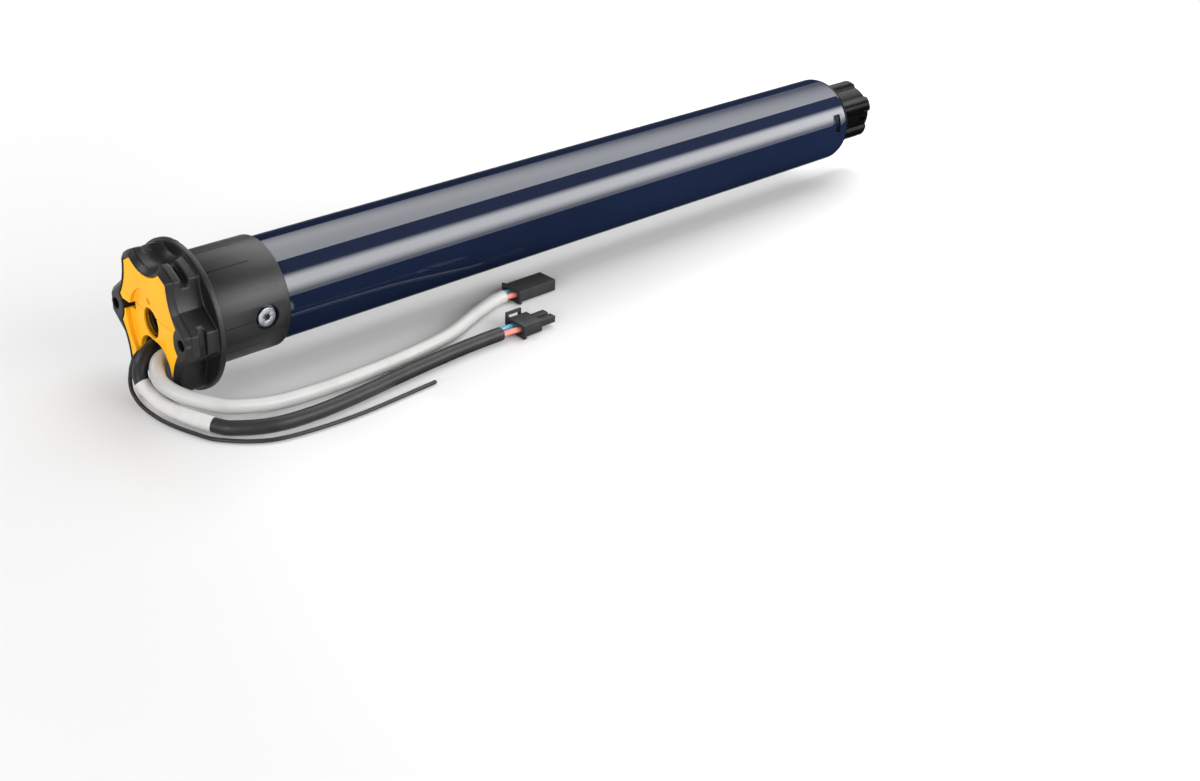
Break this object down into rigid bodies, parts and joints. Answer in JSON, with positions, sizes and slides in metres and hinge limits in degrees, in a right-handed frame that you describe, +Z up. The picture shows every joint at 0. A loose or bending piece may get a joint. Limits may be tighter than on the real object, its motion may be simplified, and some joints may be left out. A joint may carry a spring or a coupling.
{
  "type": "tubular roller blind motor",
  "caption": "Navy tubular roller blind motor with black star head, yellow cover, cables and lobed drive shaft.",
  "frame": {"origin": "on the floor below the middle of the motor's length, the motor lying on its flange", "axes": "+X along the tube axis from the head to the drive shaft, +Z up"},
  "size_m": [0.4834, 0.1039, 0.067],
  "materials": {
    "black_plastic": "fine moulded texture",
    "yellow_plastic": "smooth moulded",
    "grey_plastic": "satin moulded",
    "pale_plastic": "smooth moulded",
    "coated_steel": "gloss coat",
    "bare_steel": "machined",
    "sintered_steel": "sintered",
    "bronze": "sintered",
    "tinned_brass": "plated",
    "copper": "enamelled",
    "ferrite": "ground",
    "board_laminate": "solder mask",
    "seal_rubber": "moulded",
    "white_jacket": "smooth jacket",
    "black_jacket": "satin jacket",
    "blue_core": "extruded",
    "red_core": "extruded"
  },
  "bodies": {
    "casing": {"star_head": "black_plastic", "upper_cover": "yellow_plastic", "lower_cover": "yellow_plastic", "cable_grommet": "seal_rubber", "bearing_sleeve": "black_plastic", "sleeve_screws": "bare_steel", "head_seal": "seal_rubber", "motor_tube": "coated_steel", "board_tray": "grey_plastic", "circuit_board": "board_laminate", "board_parts": "grey_plastic", "inner_leads": "red_core", "motor_can": "bare_steel", "field_magnets": "ferrite", "rear_motor_cap": "pale_plastic", "brushes": "ferrite", "motor_bushes": "bronze", "rubber_ring": "seal_rubber", "motor_mount": "grey_plastic", "mount_screws": "bare_steel", "ring_gear": "sintered_steel", "output_bush": "bronze", "end_cap": "black_plastic", "white_cable": "white_jacket", "black_cable": "black_jacket", "antenna_wire": "black_jacket", "blue_cores": "blue_core", "red_cores": "red_core", "socket_housing": "grey_plastic", "socket_pins": "tinned_brass", "plug_housing": "grey_plastic", "plug_contacts": "tinned_brass"},
    "rotor": {"motor_shaft": "bare_steel", "rotor_core": "sintered_steel", "rotor_windings": "copper", "commutator": "copper", "encoder_magnet": "ferrite", "sun_pinion": "tinned_brass"},
    "first_stage": {"first_carrier": "pale_plastic", "first_pins": "bare_steel"},
    "second_stage": {"second_carrier": "sintered_steel", "second_pins": "bare_steel"},
    "output": {"third_carrier": "sintered_steel", "third_pins": "bare_steel", "drive_shaft": "black_plastic", "shaft_clip": "bare_steel"},
    "first_planet_1": {"first_planet_1": "pale_plastic"},
    "first_planet_2": {"first_planet_2": "pale_plastic"},
    "first_planet_3": {"first_planet_3": "pale_plastic"},
    "second_planet_1": {"second_planet_1": "sintered_steel"},
    "second_planet_2": {"second_planet_2": "sintered_steel"},
    "second_planet_3": {"second_planet_3": "sintered_steel"},
    "third_planet_1": {"third_planet_1": "sintered_steel"},
    "third_planet_2": {"third_planet_2": "sintered_steel"},
    "third_planet_3": {"third_planet_3": "sintered_steel"}
  },
  "joints": [
    {"name": "output_spin", "type": "hinge", "parent": "casing", "child": "output", "pos_m": [0.1915, 0, 0.0335], "axis": [1, 0, 0], "continuous": true},
    {"name": "second_stage_spin", "type": "hinge", "parent": "casing", "child": "second_stage", "pos_m": [0.1445, 0, 0.0335], "axis": [1, 0, 0], "continuous": true},
    {"name": "first_stage_spin", "type": "hinge", "parent": "casing", "child": "first_stage", "pos_m": [0.1305, 0, 0.0335], "axis": [1, 0, 0], "continuous": true},
    {"name": "rotor_spin", "type": "hinge", "parent": "casing", "child": "rotor", "pos_m": [0.0615, 0, 0.0335], "axis": [1, 0, 0], "continuous": true},
    {"name": "third_planet_1_spin", "type": "hinge", "parent": "output", "child": "third_planet_1", "pos_m": [0.1549, 0.012, 0.0335], "axis": [1, 0, 0], "continuous": true},
    {"name": "third_planet_2_spin", "type": "hinge", "parent": "output", "child": "third_planet_2", "pos_m": [0.1549, -0.006, 0.04389], "axis": [1, 0, 0], "continuous": true},
    {"name": "third_planet_3_spin", "type": "hinge", "parent": "output", "child": "third_planet_3", "pos_m": [0.1549, -0.006, 0.02311], "axis": [1, 0, 0], "continuous": true},
    {"name": "second_planet_1_spin", "type": "hinge", "parent": "second_stage", "child": "second_planet_1", "pos_m": [0.139, 0.012, 0.0335], "axis": [1, 0, 0], "continuous": true},
    {"name": "second_planet_2_spin", "type": "hinge", "parent": "second_stage", "child": "second_planet_2", "pos_m": [0.139, -0.006, 0.04389], "axis": [1, 0, 0], "continuous": true},
    {"name": "second_planet_3_spin", "type": "hinge", "parent": "second_stage", "child": "second_planet_3", "pos_m": [0.139, -0.006, 0.02311], "axis": [1, 0, 0], "continuous": true},
    {"name": "first_planet_1_spin", "type": "hinge", "parent": "first_stage", "child": "first_planet_1", "pos_m": [0.1255, 0.012, 0.0335], "axis": [1, 0, 0], "continuous": true},
    {"name": "first_planet_2_spin", "type": "hinge", "parent": "first_stage", "child": "first_planet_2", "pos_m": [0.1255, -0.006, 0.04389], "axis": [1, 0, 0], "continuous": true},
    {"name": "first_planet_3_spin", "type": "hinge", "parent": "first_stage", "child": "first_planet_3", "pos_m": [0.1255, -0.006, 0.02311], "axis": [1, 0, 0], "continuous": true}
  ],
  "couplings": [
    {"joint": "second_stage_spin", "follows": "output_spin", "ratio": 5},
    {"joint": "first_stage_spin", "follows": "output_spin", "ratio": 25},
    {"joint": "rotor_spin", "follows": "output_spin", "ratio": 125},
    {"joint": "third_planet_1_spin", "follows": "output_spin", "ratio": -2.6667},
    {"joint": "third_planet_2_spin", "follows": "output_spin", "ratio": -2.6667},
    {"joint": "third_planet_3_spin", "follows": "output_spin", "ratio": -2.6667},
    {"joint": "second_planet_1_spin", "follows": "output_spin", "ratio": -13.333},
    {"joint": "second_planet_2_spin", "follows": "output_spin", "ratio": -13.333},
    {"joint": "second_planet_3_spin", "follows": "output_spin", "ratio": -13.333},
    {"joint": "first_planet_1_spin", "follows": "output_spin", "ratio": -66.667},
    {"joint": "first_planet_2_spin", "follows": "output_spin", "ratio": -66.667},
    {"joint": "first_planet_3_spin", "follows": "output_spin", "ratio": -66.667}
  ]
}
